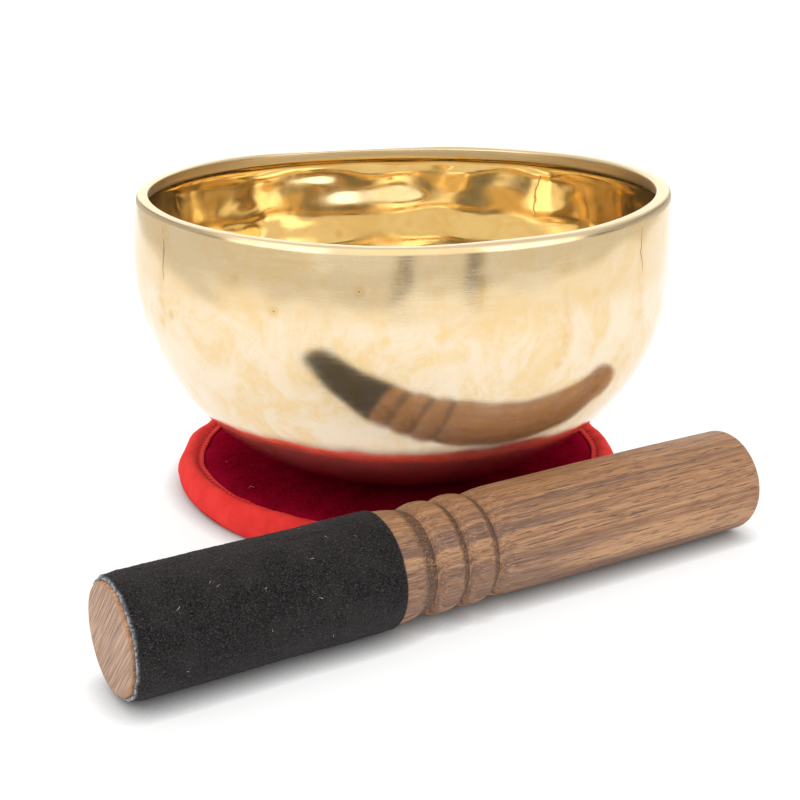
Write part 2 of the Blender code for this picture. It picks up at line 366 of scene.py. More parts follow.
def build_bowl():
    profile, inside_share = bowl_profile()
    points, angle = ring_points(profile[:, 0], profile[:, 1], BOWL_AROUND)
    across, up = profile[:, 2:3], profile[:, 3:4]
    upright = np.repeat(up, BOWL_AROUND, 1)
    normal = np.stack([across * np.cos(angle), across * np.sin(angle), upright], -1)
    flat, toward = points.reshape(-1, 3), normal.reshape(-1, 3)
    inside = np.repeat(inside_share, BOWL_AROUND)
    height = flat[:, 2]
    theta = np.tile(angle, len(profile))
    # beaten by hand: the whole wall wanders a little, more on the left than on the right
    lopsided = np.sin(math.tau * (height - 54.5 * MM) / (62 * MM)) * smoothstep(24 * MM, 42 * MM, height)
    push = 0.45 * MM * np.cos(theta) * lopsided
    push -= 0.16 * MM * ripple(flat, 58 * MM, 3) * smoothstep(4 * MM, 30 * MM, height)
    lip_zone = 1 - smoothstep(RIM_HEIGHT - 9 * MM, RIM_HEIGHT - 4 * MM, height)
    outer_marks = 0.035 * MM * ripple(flat, 21 * MM, 8) + 0.012 * MM * ripple(flat, 9 * MM, 9)
    push += np.where(inside < 0.5, outer_marks, 0.0) * (0.4 + 0.6 * lip_zone)
    dents = hammer_marks(flat, 260, 10 * MM, 0.30 * MM, 11, 0.0, RIM_HEIGHT - 8 * MM)
    waves = 0.14 * MM * ripple(flat * (1, 1, 1.5), 30 * MM, 5)
    outward = (0.20 * MM - dents + waves) * lip_zone
    push = np.where(inside > 0.9, push + outward, push)
    flat = flat + toward * push[:, None]
    flat[:, 2] += 0.22 * MM * np.sin(2 * theta + 0.6) * smoothstep(60 * MM, RIM_HEIGHT, height)
    flat[:, 2] += 0.12 * MM * np.sin(5 * theta + 2.1) * smoothstep(75 * MM, RIM_HEIGHT, height)
    saddle = 0.05 + 0.70 * np.cos(2 * theta) - 0.35 * np.sin(theta)
    flat[:, 2] += saddle * MM * smoothstep(60 * MM, RIM_HEIGHT, height)
    flat[:, 2] += BOWL_BOTTOM
    poles = np.array([[0, 0, flat[:BOWL_AROUND, 2].mean()], [0, 0, flat[-BOWL_AROUND:, 2].mean()]])
    mesh = capped_shell("bowl_shell", flat, poles, BOWL_AROUND, inside_first=True)
    set_attribute(mesh, "inside", np.concatenate([inside, [1.0, 0.0]]))
    set_attribute(mesh, "stain", np.concatenate([drips(theta, height) * (inside < 0.5), [0.0, 0.0]]))
    bowl = add_object("bowl_shell", mesh)
    bowl.data.materials.append(brass())
    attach(bowl, "bowl")
    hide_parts("bowl")


def brass():
    """Hand-finished bronze: brushed outside, polished inside, filed on the lip, mottled and pitted."""
    s = Shader("bowl_bronze")
    place = s.place()
    inside = s.attribute("inside")
    height = s.node("SeparateXYZ", place).outputs["Z"]
    lip = s.span(height, BOWL_BOTTOM + RIM_HEIGHT - 5.0 * MM, BOWL_BOTTOM + RIM_HEIGHT - 3.8 * MM)
    lip_inside = s.times(lip, inside)
    blotch = s.span(s.noise(place, 52.0, 5.0, 0.62, 0.8), 0.40, 0.62)
    stain = s.span(s.noise(s.stretch(place, (1.0, 1.0, 0.45)), 105.0, 5.0, 0.65, 1.2), 0.50, 0.66)
    fine_blotch = s.span(s.noise(place, 260.0, 5.0, 0.65), 0.42, 0.64)
    outer = s.mix(blotch, (0.90, 0.76, 0.57), (0.87, 0.65, 0.36))
    outer = s.tint(outer, stain, 0.32, (0.85, 0.57, 0.21))
    hairs = s.noise(s.stretch(place, (230.0, 230.0, 120.0)), 1.0, 2.0, 0.6, 0.6)
    hairs = s.math("ABSOLUTE", s.minus(hairs, 0.5))
    hairs = s.times(s.span(hairs, 0.0, 0.008, 1.0, 0.0), s.span(s.noise(place, 95.0, 2.0), 0.47, 0.62))
    outer = s.tint(outer, hairs, 0.6, (0.82, 0.52, 0.16))
    drip = s.times(s.attribute("stain"), s.span(s.noise(place, 240.0, 4.0, 0.7), 0.3, 0.6, 0.25, 1.0))
    outer = s.mix(s.times(drip, 0.8, clamp=True), outer, (0.78, 0.47, 0.13))
    outer = s.tint(outer, fine_blotch, 0.40, (0.88, 0.76, 0.58))
    upper = s.span(height, BOWL_BOTTOM + 68 * MM, BOWL_BOTTOM + 76 * MM)
    outer = s.tint(outer, upper, 0.6, (0.80, 0.59, 0.31))
    inner = s.mix(blotch, (0.89, 0.73, 0.44), (0.84, 0.65, 0.35))
    inner = s.tint(inner, fine_blotch, 0.35, (0.90, 0.73, 0.42))
    colour = s.mix(inside, outer, inner)
    colour = s.mix(lip_inside, colour, (0.60, 0.53, 0.43))
    crest = s.span(height, BOWL_BOTTOM + RIM_HEIGHT - 1.5 * MM, BOWL_BOTTOM + RIM_HEIGHT - 0.7 * MM)
    colour = s.tint(colour, crest, 0.9, (0.66, 0.52, 0.32))
    pit, stained = pits(s, place)
    colour = s.tint(colour, stained, 0.5, (0.72, 0.47, 0.16))
    colour = s.mix(pit, colour, (0.09, 0.065, 0.04))
    crease = creases(s, place, inside)
    colour = s.tint(colour, crease, 0.7, (0.20, 0.13, 0.06))
    grain, rough = finish_marks(s, place, inside, lip_inside)
    rough = s.tint(rough, crest, 0.8, (0.45, 0.45, 0.45))
    pocked = s.bump(s.plus(pit, s.times(crease, 0.5)), -0.12 * MM, 1.0, grain)
    outer_metal = s.span(height, BOWL_BOTTOM + 14 * MM, BOWL_BOTTOM + 32 * MM, 0.99, 0.925)
    metal = s.node("Mix", inside, outer_metal, 0.975, data_type="FLOAT")
    return s.finish(Base_Color=colour, Roughness=rough, Normal=pocked, Metallic=metal)


# Creases left by hammering: degrees round the bowl, lowest and highest mm above its base, inside or not
CREASES = ((-145.0, 74.0, 91.0, False), (-35.0, 76.0, 91.0, False), (54.0, 68.0, 84.0, True))


def creases(s, place, inside):
    """Fine, nearly upright hammering creases, below the lip outside and on the back wall inside."""
    split = s.node("SeparateXYZ", place)
    turn = s.math("ARCTAN2", split.outputs["Y"], split.outputs["X"])
    turn = s.plus(turn, s.times(s.minus(s.noise(place, 60.0, 3.0), 0.5), 0.12))
    up = s.minus(split.outputs["Z"], BOWL_BOTTOM)
    outside = s.minus(1.0, inside)
    total = 0.0
    for degrees, low, high, within in CREASES:
        away = s.math("ABSOLUTE", s.minus(turn, math.radians(degrees)))
        line = s.times(s.span(away, 0.0015, 0.0035, 1.0, 0.0), s.span(up, low * MM, (low + 4) * MM))
        line = s.times(line, s.span(up, high * MM, (high + 0.6) * MM, 1.0, 0.0))
        total = s.math("MAXIMUM", total, s.times(line, inside if within else outside))
    return total


def pits(s, place):
    """A few casting pits, each with a yellow stain round it."""
    cell = s.node("TexVoronoi", Vector=place, Scale=88.0, feature="F1")
    lucky = s.math("GREATER_THAN", s.node("SeparateColor", cell.outputs["Color"]).outputs["Red"], 0.80)
    spot = s.times(s.span(cell.outputs["Distance"], 0.012, 0.036, 1.0, 0.0), lucky)
    around = s.times(s.span(cell.outputs["Distance"], 0.05, 0.22, 1.0, 0.0), lucky)
    return spot, around


def finish_marks(s, place, inside, lip_inside):
    """Bump and roughness of the tool marks: brushing runs round the bowl, filing runs across the lip."""
    brushed = s.noise(s.stretch(place, (1100.0, 1100.0, 5200.0)), 1.0, 3.0, 0.8)
    scratches = s.span(s.noise(s.stretch(place, (160.0, 160.0, 4200.0)), 1.0, 3.0, 0.75), 0.3, 0.7)
    streaks = s.noise(s.stretch(place, (70.0, 70.0, 1300.0)), 1.0, 3.0, 0.7)
    grain = s.plus(s.times(brushed, 0.8), s.times(scratches, 0.25))
    filed = s.noise(s.stretch(place, (1800.0, 1800.0, 240.0)), 1.0, 2.0)
    grain = s.mix(lip_inside, grain, filed)
    rough = s.span(streaks, 0.32, 0.68, 0.07, 0.15)
    rough = s.mix(inside, rough, s.span(s.noise(place, 140.0, 4.0), 0.35, 0.7, 0.06, 0.15))
    rough = s.mix(lip_inside, rough, (0.38, 0.38, 0.38))
    strength = s.mix(inside, (0.24, 0.24, 0.24), (0.03, 0.03, 0.03))
    strength = s.mix(lip_inside, strength, (0.40, 0.40, 0.40))
    return s.node("Bump", Strength=strength, Distance=0.035 * MM, Height=grain), rough


# ---------------------------------------------------------------- the mat

VELVET_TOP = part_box("mat_velvet")[1].z
VELVET_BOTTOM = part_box("mat_velvet")[0].z
PADDING_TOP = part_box("mat_padding")[1].z
PADDING_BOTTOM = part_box("mat_padding")[0].z
PADDING_EDGE = (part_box("mat_padding")[1].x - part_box("mat_padding")[0].x) / 2
BACKING_EDGE = (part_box("mat_backing")[1].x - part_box("mat_backing")[0].x) / 2
MAT_RADIUS = (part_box("mat_binding")[1].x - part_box("mat_binding")[0].x) / 2
BINDING_INNER = MAT_RADIUS - BINDING_WIDTH
FLAT_RADIUS = 63.0 * MM
STITCHES = round(math.tau * (BINDING_INNER + STITCH_INSET) / STITCH_PITCH)
STITCH_SHARE = STITCH_INSET / BINDING_WIDTH

# The folded tape's section: how far out across its width, and the height in mm
TAPE_OUTSIDE = np.array([
    (0.02, 9.55), (0.00, 9.90), (0.02, 10.24), (0.06, 10.44), (0.10, 10.46), (0.14, 10.36),
    (0.18, 10.22), (STITCH_SHARE, 10.14), (0.25, 10.22), (0.28, 10.42), (0.33, 10.76), (0.39, 11.14),
    (0.46, 11.40), (0.54, 11.46), (0.62, 11.28), (0.70, 10.88), (0.77, 10.30), (0.84, 9.50),
    (0.90, 8.50), (0.95, 7.40), (0.985, 6.30), (1.0, 5.20), (0.995, 4.20), (0.975, 3.25), (0.94, 2.30),
    (0.885, 1.40), (0.81, 0.65), (0.72, 0.20), (0.60, 0.05), (0.48, 0.06), (0.38, 0.15), (0.30, 0.32),
    (STITCH_SHARE, 0.46), (0.12, 0.36), (0.04, 0.45), (0.00, 0.75)])
TAPE_INSIDE = np.array([
    (0.03, 1.12), (0.12, 1.25), (0.30, 1.25), (0.55, 1.15), (0.74, 1.50), (0.87, 2.90), (0.925, 4.40),
    (0.93, 5.60), (0.90, 7.10), (0.83, 8.60), (0.73, 9.80), (0.62, 10.60), (0.52, 10.92), (0.43, 10.75),
    (0.33, 10.20), (STITCH_SHARE, 9.48), (0.10, 9.50)])
TAPE_TOP_ROWS = 22
TAPE_JOIN = math.radians(-122.0)


def wander(angle, waves):
    """A closed wavering: each wave is its size in mm, how many times it goes round, and its phase."""
    return sum(size * np.cos(times * angle + phase) for size, times, phase in waves) * MM


def flattened(angle):
    """How far the mat's edge stays inside its circle, where it was cut a little straight."""
    return 1.0 * MM * bell(angle, math.radians(214), math.radians(14))


def mat_outline(angle):
    """The mat's outer radius: cut and bound by hand, so not quite round."""
    waves = ((0.30, 2, 0.9), (0.16, 5, 0.8), (0.09, 11, 2.0))
    return MAT_RADIUS - 0.2 * MM - flattened(angle) + wander(angle, waves)


def inner_outline(angle):
    """The binding's inner edge, where the velvet starts."""
    waves = ((-1.35, 2, 0.0), (0.35, 1, 0.0), (0.22, 7, 1.3), (0.14, 13, 0.0), (0.07, 31, 1.0))
    return BINDING_INNER + wander(angle, waves)


def round_mat(radius, angle, height):
    """Points from polar ones about the mat's middle."""
    x, y = radius * np.cos(angle) + MAT_CENTRE.x, radius * np.sin(angle) + MAT_CENTRE.y
    return np.stack(np.broadcast_arrays(x, y, height), -1)


def weave(s, along, across, pitch, wobble):
    """The height of crossing yarns, from two coordinates in metres."""
    turn = math.tau / pitch
    warp = s.math("SINE", s.plus(s.times(along, turn), wobble))
    weft = s.math("SINE", s.plus(s.times(across, turn), wobble))
    return s.times(warp, weft)


def cotton(name, colour, dark, pitch=0.42 * MM, flat=False):
    """Woven cotton: crossing yarns with slubs and worn patches; on the tape, painted shade along the stitch
    valley and in the needle holes along the seam.
    """
    s = Shader(name, Roughness=0.9, Specular_IOR_Level=0.10)
    where = s.place() if flat else s.node("UVMap", uv_map="tape").outputs[0]
    split = s.node("SeparateXYZ", where)
    wobble = s.times(s.noise(where, 900.0, 2.0), 1.6)
    crossing = weave(s, split.outputs["X"], split.outputs["Y"], pitch, wobble)
    slub = s.noise(s.stretch(where, (300.0, 2500.0, 1.0)), 1.0, 3.0)
    worn = s.noise(s.place(), 150.0, 4.0, 0.6)
    shade = s.plus(s.times(crossing, 0.30), s.times(worn, 0.9))
    base = s.mix(s.span(shade, 0.20, 0.70), dark, colour)
    if not flat:
        # painted shade: the tape is darkened along the stitch valley and made nearly black in the needle
        # holes
        base = s.tint(base, s.attribute("valley_shade"), 0.30, (0.36, 0.010, 0.014))
        base = s.tint(base, s.attribute("hole"), 0.95, (0.055, 0.002, 0.008))
    height = s.plus(s.times(crossing, 0.5), slub)
    return s.finish(Base_Color=base, Normal=s.bump(height, 0.10 * MM, 0.9))


def tape_points(angle):
    """The tape's section swept round the mat, with its rolls, puckers and needle holes."""
    section = np.concatenate([TAPE_OUTSIDE, TAPE_INSIDE])
    inner, outer = inner_outline(angle), mat_outline(angle)
    across = section[:, :1]
    radius = inner + across * (outer - inner)
    points = round_mat(radius, angle, section[:, 1:] * MM)
    flat = points.reshape(-1, 3)
    shape = radius.shape
    top = np.zeros((len(section), 1))
    top[:TAPE_TOP_ROWS] = 1.0
    low = np.zeros((len(section), 1))
    low[TAPE_TOP_ROWS:len(TAPE_OUTSIDE)] = 1.0
    rng = np.random.default_rng(4)
    pull = np.interp(angle, np.linspace(0, math.tau, STITCHES + 1), rng.uniform(0.2, 1.0, STITCHES + 1))
    between = np.abs(np.sin(STITCHES * angle / 2))
    gather = (0.10 + 0.22 * pull) * (between - 0.6) * bell(across, 0.34, 0.13)
    ridge = 0.10 * pull * (between - 0.6) * bell(across, 0.09, 0.05)
    creases = ripple(np.stack([np.cos(angle), np.sin(angle), 0 * angle], -1), 4.6 * MM / MAT_RADIUS, 23)
    creases = 0.10 * np.minimum(creases, 0.6) * bell(across, 0.55, 0.22)
    puffy = 0.24 * ripple(flat, 21 * MM, 21).reshape(shape) * smoothstep(0.25, 0.6, across)
    small = 0.07 * ripple(flat, 6.0 * MM, 22).reshape(shape)
    # the tape's end, laid over its start at a slant
    turn = (angle - TAPE_JOIN - 0.055 * (across - 0.5) + math.pi) % math.tau - math.pi
    lap = 0.30 * (smoothstep(-0.0035, 0.0035, turn) - smoothstep(0.10, 0.16, turn))
    rise = gather + ridge + creases + puffy + small + lap
    # each needle hole dips the tape, and the same mask darkens it there as painted shade
    hole = bell(between, 0.0, 0.50) * bell(across, STITCH_SHARE, 0.085) * (top + low)
    points[..., 2] += (top * (rise * 0.8 - 0.30 * hole) + low * 0.25 * hole) * MM
    out = (top * smoothstep(0.5, 0.9, across) * (puffy + creases + lap) * 0.8) * MM
    points[..., 0] += out * np.cos(angle)
    points[..., 1] += out * np.sin(angle)
    points[..., 2] = np.maximum(points[..., 2], 0.02 * MM)
    return points, hole, section[:, 0]


def build_binding():
    around = STITCHES * 8
    angle = turns(around)
    points, hole, across = tape_points(angle)
    rings = len(points)
    mesh = make_mesh("mat_binding_tape", points.reshape(-1, 3), wrap_grid(rings, around, True)[:, ::-1])
    # masks of the painted shade in the needle holes and along the stitch valley
    set_attribute(mesh, "hole", hole)
    valley_shade = bell(across, STITCH_SHARE, 0.05)
    set_attribute(mesh, "valley_shade", np.repeat(valley_shade, around))
    middle = points[:, 0]
    length = np.concatenate([[0], np.cumsum(np.linalg.norm(np.diff(middle, axis=0), axis=1))])
    layer = mesh.uv_layers.new(name="tape")
    quads = wrap_grid(rings, around, True)[:, ::-1]
    ring, step = quads // around, quads % around
    wrapped = (step.max(1) == around - 1) & (step.min(1) == 0)
    step[wrapped] = np.where(step[wrapped] == 0, around, step[wrapped])
    uv = np.stack([step * (math.tau * MAT_RADIUS / around), length[ring]], -1)
    layer.data.foreach_set("uv", uv.astype(np.float32).ravel())
    binding = add_object("mat_binding_tape", mesh)
    mesh.materials.append(cotton("binding_cotton", (0.90, 0.055, 0.046), (0.74, 0.026, 0.024)))
    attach(binding, "mat")
    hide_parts("mat_binding")


def build_stitches(name, node, height, side):
    """One lockstitch thread: a short round stitch between every two needle holes, dipping at its ends."""
    along = np.linspace(-1, 1, 9)
    around = turns(8)
    thick = 0.19 * MM * np.sqrt(np.clip(1 - np.abs(along) ** 5, 0.05, 1))
    dip = -0.28 * MM * np.abs(along) ** 3 * side
    rng = np.random.default_rng(8)
    points, quads = [], []
    for number in range(STITCHES):
        middle = (number + 0.5) * math.tau / STITCHES
        angle = middle + along * 0.43 * math.tau / STITCHES * rng.uniform(0.92, 1.0)
        lean = along * rng.normal(0, 0.07 * MM)
        radius = inner_outline(angle) + STITCH_INSET + lean
        centre = round_mat(radius, angle, height + dip + rng.normal(0, 0.03 * MM))
        outward = np.stack([np.cos(angle), np.sin(angle), 0 * angle], -1)
        tube = centre[:, None] + thick[:, None, None] * (
            outward[:, None] * np.cos(around)[:, None] + np.array([0, 0, 1.0]) * np.sin(around)[:, None])
        quads.append(wrap_grid(*tube.shape[:2])[:, ::-1] + number * tube.shape[0] * tube.shape[1])
        points.append(tube.reshape(-1, 3))
    mesh = make_mesh(name, np.concatenate(points), np.concatenate(quads))
    mesh.materials.append(spun_thread(name + "_cotton"))
    thread = add_object(name, mesh)
    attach(thread, "mat")
    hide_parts(node)


def spun_thread(name):
    """Red sewing thread: fine slanting twist, a little shine."""
    s = Shader(name, Roughness=0.7, Specular_IOR_Level=0.25)
    place = s.place()
    twist = s.noise(s.stretch(place, (5200.0, 5200.0, 900.0), (0.4, 0.3, 0.7)), 1.0, 2.0)
    colour = s.mix(s.span(twist, 0.35, 0.65), (0.30, 0.010, 0.012), (0.72, 0.040, 0.036))
    return s.finish(Base_Color=colour, Normal=s.bump(twist, 0.06 * MM, 0.8))


def disc_grid(share, edge, angle, height):
    """Rings x around points of a round sheet about the mat's middle, height as a function of radius."""
    radius = np.asarray(share)[:, None] * np.broadcast_to(edge, angle.shape)
    return round_mat(radius, angle, height(radius)), radius


def closed_disc(name, bottom, top):
    """A closed round sheet or pad from its lower and upper grids of points."""
    points = np.concatenate([bottom, top[::-1]]).reshape(-1, 3)
    poles = np.stack([bottom[0].mean(0), top[0].mean(0)])
    return capped_shell(name, points, poles, bottom.shape[1])


# The wadding's lift over the tape, and the cloth simulation, which runs on a mat five times the true size
PADDING_LIFT = 2.3 * MM
SIM_SCALE = 5.0
SIM_RINGS, SIM_AROUND = 44, 160
SIM_FRAMES = 24
SIM_PRESSURE = 0.4
SIM_GROWTH = 0.0024
RISE_CAP = 2.2 * MM


def padding_low(radius):
    """The wadding's underside, lifted at the edge by the tape that is folded under it."""
    lifted = smoothstep(FLAT_RADIUS, BINDING_INNER, radius)
    return PADDING_BOTTOM + (PADDING_LIFT - PADDING_BOTTOM) * lifted


def padding_high(radius):
    """The wadding's face, rounded down at the edge, where it fills the tape's roll."""
    swell = 1.7 * MM * smoothstep(69.5 * MM, 72.0 * MM, radius)
    inside = np.clip((radius - 71.0 * MM) / (PADDING_EDGE - 71.0 * MM), 0, 1)
    return PADDING_TOP + swell - 4.6 * MM * (1 - np.sqrt(1 - inside**2 * 0.999))


def bowl_height(radius):
    """Height of the bowl's outside above its own base, at a distance from its axis."""
    share = np.clip((radius - BASE_RADIUS) / (BELLY_RADIUS - BASE_RADIUS), 0.0, 0.999)
    return BELLY_HEIGHT * (1 - np.sqrt(1 - share**2))


def simulate_padding():
    """How far the mat's stuffed face rises, rings x around, in metres. It is blown up against the bowl that
    stands on it, and held down by the stitches round its edge."""
    angle = turns(SIM_AROUND)
    share = np.linspace(0.02, 1.0, SIM_RINGS)
    edge = BINDING_INNER + STITCH_INSET
    top, radius = disc_grid(share, edge, angle, lambda r: np.full(r.shape, PADDING_TOP))
    bottom, _ = disc_grid(share, edge, angle, padding_low)
    mesh = closed_disc("padding_sim", bottom * SIM_SCALE, top * SIM_SCALE)
    pad = add_object("padding_sim", mesh)
    still = pad.vertex_groups.new(name="still")
    rows = np.concatenate([np.zeros((SIM_RINGS, SIM_AROUND)), radius[::-1]]).ravel()
    held = np.flatnonzero((rows == 0.0) | (rows > edge - 0.5 * MM)).tolist() + [len(rows)]
    still.add(held, 1.0, "REPLACE")
    foot = pressing_foot()
    cloth = pad.modifiers.new("cloth", "CLOTH")
    settings, hits = cloth.settings, cloth.collision_settings
    settings.quality, settings.mass = 6, 0.3
    settings.use_pressure, settings.uniform_pressure_force = True, SIM_PRESSURE
    settings.vertex_group_mass, settings.pin_stiffness = "still", 1.0
    settings.shrink_min = -SIM_GROWTH
    settings.bending_stiffness = 1.2
    settings.tension_stiffness = settings.compression_stiffness = 40.0
    settings.effector_weights.gravity = 0.0
    hits.use_collision, hits.distance_min, hits.use_self_collision = True, 0.001, False
    cloth.point_cache.frame_start, cloth.point_cache.frame_end = 1, SIM_FRAMES
    for number in range(1, SIM_FRAMES + 1):
        bpy.context.scene.frame_set(number)
    shape = pad.evaluated_get(bpy.context.evaluated_depsgraph_get())
    moved = np.zeros(len(shape.data.vertices) * 3, np.float32)
    shape.data.vertices.foreach_get("co", moved)
    moved = moved.reshape(-1, 3)[SIM_RINGS * SIM_AROUND:2 * SIM_RINGS * SIM_AROUND, 2]
    rise = moved.reshape(SIM_RINGS, SIM_AROUND)[::-1] / SIM_SCALE - PADDING_TOP
    for piece in (pad, foot):
        data = piece.data
        bpy.data.objects.remove(piece)
        bpy.data.meshes.remove(data)
    bpy.context.scene.frame_set(1)
    free = np.hypot(top[..., 0], top[..., 1])
    return np.clip(rise, 0.0, np.minimum(RISE_CAP, bowl_height(free) * 0.92))


def pressing_foot():
    """The bowl's underside as a collider for the cloth."""
    radius = np.linspace(1.0, 62.0, 40) * MM
    points, _ = ring_points(radius, PADDING_TOP + bowl_height(radius) + 0.1 * MM, 96)
    mesh = make_mesh("pressing_foot", points.reshape(-1, 3) * SIM_SCALE, wrap_grid(40, 96))
    foot = add_object("pressing_foot", mesh)
    foot.modifiers.new("collision", "COLLISION")
    foot.collision.thickness_outer = 0.001
    return foot


def rise_at(rise, radius, angle):
    """The simulated rise read off at a finer grid's radii, ring by ring."""
    edge = BINDING_INNER + STITCH_INSET
    row = np.clip((radius / edge - 0.02) / 0.98, 0, 1) * (SIM_RINGS - 1)
    column = np.broadcast_to(angle / math.tau * SIM_AROUND, radius.shape)
    r0, c0 = np.floor(row).astype(int), np.floor(column).astype(int)
    r1, c1 = np.minimum(r0 + 1, SIM_RINGS - 1), (c0 + 1) % SIM_AROUND
    fr, fc = row - r0, column - c0
    c0 = c0 % SIM_AROUND
    return ((1 - fr) * (1 - fc) * rise[r0, c0] + fr * (1 - fc) * rise[r1, c0]
            + (1 - fr) * fc * rise[r0, c1] + fr * fc * rise[r1, c1])


def velvet():
    """Short crimson pile: near black looking down into it, brighter where it is brushed over, with painted
    sheen along the binding.
    """
    s = Shader("crimson_velvet", Roughness=1.0, Sheen_Weight=0.30, Sheen_Roughness=0.35,
               Sheen_Tint=(0.60, 0.0, 0.03, 1.0), Specular_IOR_Level=0.0)
    place = s.place()
    brushed = s.noise(place, 75.0, 4.0, 0.6, 0.8)
    clumps = s.noise(place, 480.0, 3.0, 0.65)
    pile = s.noise(place, 2400.0, 2.0, 0.7)
    colour = s.mix(s.span(brushed, 0.35, 0.70), (0.085, 0.0005, 0.0058), (0.175, 0.0012, 0.0125))
    colour = s.tint(colour, s.span(clumps, 0.35, 0.65), 0.55, (0.035, 0.0002, 0.002))
    colour = s.tint(colour, s.span(pile, 0.42, 0.66), 0.75, (0.34, 0.004, 0.024))
    # painted sheen: the pile is lightened next to the binding's inner edge
    colour = s.mix(s.times(s.attribute("edge_sheen"), s.span(pile, 0.3, 0.6, 0.3, 0.9)), colour,
                   (0.36, 0.005, 0.032))
    height = s.plus(pile, s.times(brushed, 0.6))
    return s.finish(Base_Color=colour, Normal=s.bump(height, 0.25 * MM, 0.7))


def wadding():
    """Loose white fibre."""
    s = Shader("loose_wadding", Roughness=1.0, Specular_IOR_Level=0.1)
    place = s.place()
    tuft = s.noise(place, 700.0, 5.0, 0.7, 1.5)
    colour = s.mix(s.span(tuft, 0.3, 0.7), (0.66, 0.65, 0.62), (0.90, 0.89, 0.86))
    return s.finish(Base_Color=colour, Normal=s.bump(tuft, 0.5 * MM, 1.0))


def build_padding(rise):
    angle = turns(360)
    share = np.concatenate([np.linspace(0.01, 0.9, 46), np.linspace(0.91, 0.985, 16),
                            [0.992, 0.996, 0.999]])
    edge = PADDING_EDGE - 0.15 * MM - flattened(angle)
    high, radius = disc_grid(share, edge, angle, padding_high)
    low, _ = disc_grid(share, edge, angle, padding_low)
    lift = rise_at(rise, np.minimum(radius, BINDING_INNER + STITCH_INSET), angle)
    high[..., 2] += lift * (radius < BINDING_INNER + STITCH_INSET)
    rounding = smoothstep(72.6 * MM, PADDING_EDGE, radius)
    low[..., 2] += 1.8 * MM * rounding**2
    high[..., 2] = np.maximum(high[..., 2], low[..., 2] + 0.2 * MM)
    mesh = closed_disc("mat_padding_wad", low, high)
    mesh.materials.append(wadding())
    wad = add_object("mat_padding_wad", mesh)
    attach(wad, "mat")
    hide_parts("mat_padding")
    return wad


def build_velvet(rise):
    """The mat's face: it lies on the padding, and its edge is held down under the tape."""
    angle = turns(540)
    share = np.concatenate([np.linspace(0.01, 0.80, 48), np.linspace(0.805, 1.0, 40)])
    edge = inner_outline(angle) + 2.6 * MM
    top, radius = disc_grid(share, edge, angle, lambda r: np.full(r.shape, VELVET_TOP))
    lift = rise_at(rise, radius, angle)
    held = smoothstep(-1.2 * MM, 1.4 * MM, radius - inner_outline(angle))
    flat = top.reshape(-1, 3)
    free = np.hypot(top[..., 0], top[..., 1])
    soft = smoothstep(20 * MM, 34 * MM, free) * (1 - held)
    pull = 0.16 * MM * np.abs(np.sin(STITCHES * angle / 2)) * bell(radius, inner_outline(angle), 2.2 * MM)
    uneven = 0.12 * MM * ripple(flat, 15 * MM, 31) + 0.045 * MM * ripple(flat, 4.5 * MM, 32)
    uneven = uneven.reshape(radius.shape)
    top[..., 2] += lift * (1 - held) + (uneven - 0.05 * MM) * soft - 0.10 * MM * held + pull * (1 - held)
    bottom = top.copy()
    bottom[..., 2] = np.maximum(top[..., 2] - (VELVET_TOP - VELVET_BOTTOM), VELVET_BOTTOM)
    mesh = closed_disc("mat_velvet_face", bottom, top)
    # where the painted sheen lightens the velvet, along the binding's inner edge
    edge_sheen = bell(radius, inner_outline(angle), 4.5 * MM) * (0.55 + 0.45 * np.sin(9 * angle + 1.0) ** 2)
    set_attribute(mesh, "edge_sheen", np.concatenate([edge_sheen.ravel(), edge_sheen[::-1].ravel(), [0, 0]]))
    mesh.materials.append(velvet())
    face = add_object("mat_velvet_face", mesh)
    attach(face, "mat")
    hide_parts("mat_velvet")


def build_backing():
    """The cloth under the mat: flat on the table, its edge lifted by the tape folded under it."""
    angle = turns(240)
    share = np.concatenate([np.linspace(0.01, 0.82, 40), np.linspace(0.83, 1.0, 26)])
    edge = BACKING_EDGE - 0.2 * MM

    def low(radius):
        return 0.02 * MM + 1.5 * MM * smoothstep(FLAT_RADIUS, BINDING_INNER, radius)

    bottom, radius = disc_grid(share, edge, angle, low)
    ruck = 0.10 * MM * (1 + ripple(bottom.reshape(-1, 3), 19 * MM, 35)).reshape(radius.shape)
    bottom[..., 2] += np.clip(ruck, 0, 0.22 * MM) * smoothstep(12 * MM, 30 * MM, radius)
    top = bottom.copy()
    top[..., 2] += CLOTH - 0.1 * MM
    mesh = closed_disc("mat_backing_cloth", bottom, top)
    plain = cotton("backing_cotton", (0.50, 0.022, 0.030), (0.36, 0.012, 0.020), 0.5 * MM, True)
    mesh.materials.append(plain)
    cloth = add_object("mat_backing_cloth", mesh)
    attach(cloth, "mat")
    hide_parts("mat_backing")


def build_lint():
    """Two bits of pale thread caught on the velvet."""
    lint = bpy.data.curves.new("mat_lint", "CURVE")
    lint.dimensions, lint.bevel_depth, lint.bevel_resolution = "3D", 0.035 * MM, 1
    top = VELVET_TOP + 0.9 * MM
    for places in (((-60.6, -7.0, 0.2), (-60.1, -6.3, 0.5), (-59.6, -6.6, 0.3)),
                   ((-50.6, -29.4, 0.1), (-49.8, -28.5, 0.6), (-49.3, -29.6, 0.8), (-48.6, -28.8, 0.2))):
        spline = lint.splines.new("POLY")
        spline.points.add(len(places) - 1)
        for point, (x, y, up) in zip(spline.points, places):
            point.co = (x * MM, y * MM, top + up * MM, 1.0)
    piece = add_object("mat_lint", lint)
    s = Shader("pale_lint", Roughness=0.9)
    colour = s.mix(s.noise(s.place(), 900.0), (0.50, 0.36, 0.28), (0.66, 0.58, 0.52))
    lint.materials.append(s.finish(Base_Color=colour))
    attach(piece, "mat")


